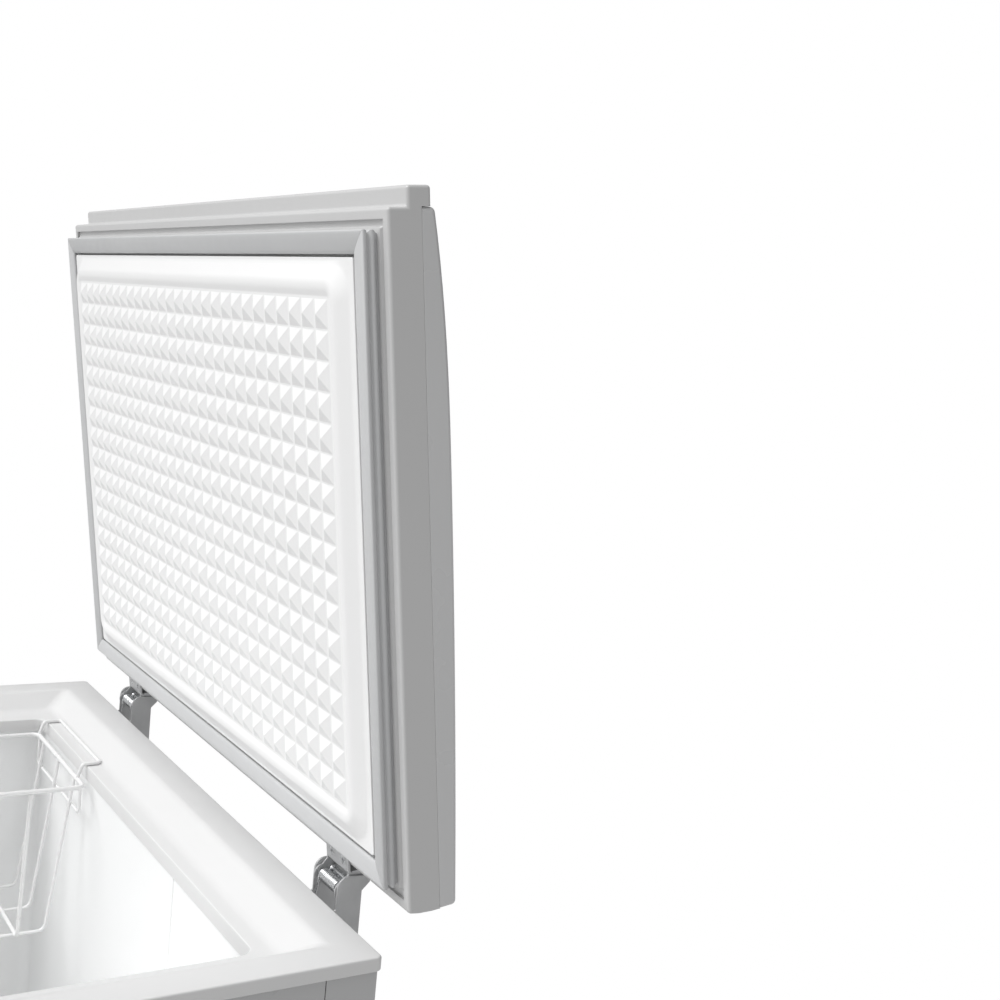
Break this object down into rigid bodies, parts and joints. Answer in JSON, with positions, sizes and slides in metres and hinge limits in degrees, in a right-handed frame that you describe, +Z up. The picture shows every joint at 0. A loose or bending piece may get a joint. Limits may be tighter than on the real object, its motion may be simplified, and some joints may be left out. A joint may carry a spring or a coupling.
{
  "type": "chest freezer",
  "caption": "White chest freezer with a hinged insulated lid standing open, an embossed lid liner, a seal all round and a wire basket hanging inside.",
  "frame": {"origin": "on the floor, under the middle of the outline of the freezer with its lid open", "axes": "+Z up, front of the freezer towards -Y, hinges towards +Y, compressor end towards +X"},
  "size_m": [0.825, 0.6127, 1.3738],
  "materials": {
    "white_paint": "gloss white powder paint on sheet steel",
    "lid_paint": "gloss white paint on the lid skin",
    "galvanised": "galvanised sheet steel",
    "foam": "rigid insulation foam",
    "liner_white": "white-coated aluminium sheet",
    "white_plastic": "satin white moulded plastic",
    "lid_plastic": "satin pale grey-white moulded plastic",
    "lid_liner_plastic": "white vacuum-formed sheet with embossed pyramids",
    "gasket_rubber": "soft pale grey seal",
    "tube_aluminium": "plain tube",
    "copper": "drawn copper tube",
    "compressor_black": "satin black enamel",
    "rubber": "black rubber",
    "zinc": "bright zinc plating",
    "black_plastic": "black moulded plastic",
    "grille_plastic": "light grey moulded plastic",
    "lens": "coloured lamp lens",
    "drain_plastic": "white moulded plastic",
    "hinge_steel": "zinc plated pressed steel",
    "wire_white": "white plastic-coated wire"
  },
  "bodies": {
    "cabinet": {"outer_wrap": "white_paint", "rear_panel": "white_paint", "base_pan": "galvanised", "body_foam": "foam", "liner": "liner_white", "collar": "white_plastic", "evaporator_coil": "tube_aluminium", "condenser_coil": "copper", "refrigerant_pipes": "copper", "filter_drier": "copper", "compressor_shell": "compressor_black", "compressor_feet": "compressor_black", "compressor_grommets": "rubber", "compressor_bolts": "zinc", "terminal_cover": "black_plastic", "side_grille": "grille_plastic", "bay_cover": "galvanised", "cover_screws": "zinc", "feet": "black_plastic", "foot_screws": "zinc", "control_bezel": "grille_plastic", "thermostat": "galvanised", "indicator_lenses": "lens", "drain_tube": "drain_plastic", "cord_gland": "rubber", "hinge_lower_left": "hinge_steel", "hinge_lower_right": "hinge_steel", "hinge_plates": "galvanised", "hinge_lower_screws": "zinc", "hinge_pins": "zinc", "hinge_springs": "zinc"},
    "lid": {"lid_frame": "lid_plastic", "lid_panel": "lid_paint", "lid_foam": "foam", "lid_liner": "lid_liner_plastic", "gasket": "gasket_rubber", "hinge_upper_left": "hinge_steel", "hinge_upper_right": "hinge_steel", "hinge_stop_pins": "zinc", "hinge_upper_screws": "zinc"},
    "basket": {"basket_rim": "wire_white", "basket_hooks": "wire_white", "basket_cross_wires": "wire_white", "basket_long_wires": "wire_white", "basket_guard_wires": "wire_white"},
    "knob": {"thermostat_knob": "grille_plastic"},
    "drain_cap": {"drain_cap": "drain_plastic"},
    "drain_stopper": {"drain_stopper": "drain_plastic"}
  },
  "joints": [
    {"name": "lid_hinge", "type": "hinge", "parent": "cabinet", "child": "lid", "pos_m": [0, 0.25832, 0.7949], "axis": [-1, 0, 0], "range_deg": [-82.5, 0], "stiffness_Nm_per_rad": 8, "springref_deg": 5.73},
    {"name": "basket_slide", "type": "slide", "parent": "cabinet", "child": "basket", "axis": [1, 0, 0], "range_m": [-0.012, 0.44]},
    {"name": "knob_turn", "type": "hinge", "parent": "cabinet", "child": "knob", "pos_m": [0.36, -0.28578, 0.127], "axis": [0, -1, 0], "range_deg": [-270, 0]},
    {"name": "drain_cap_pull", "type": "slide", "parent": "cabinet", "child": "drain_cap", "axis": [0, -1, 0], "range_m": [0, 0.03]},
    {"name": "drain_stopper_lift", "type": "slide", "parent": "cabinet", "child": "drain_stopper", "axis": [0, 0, 1], "range_m": [0, 0.05]}
  ]
}
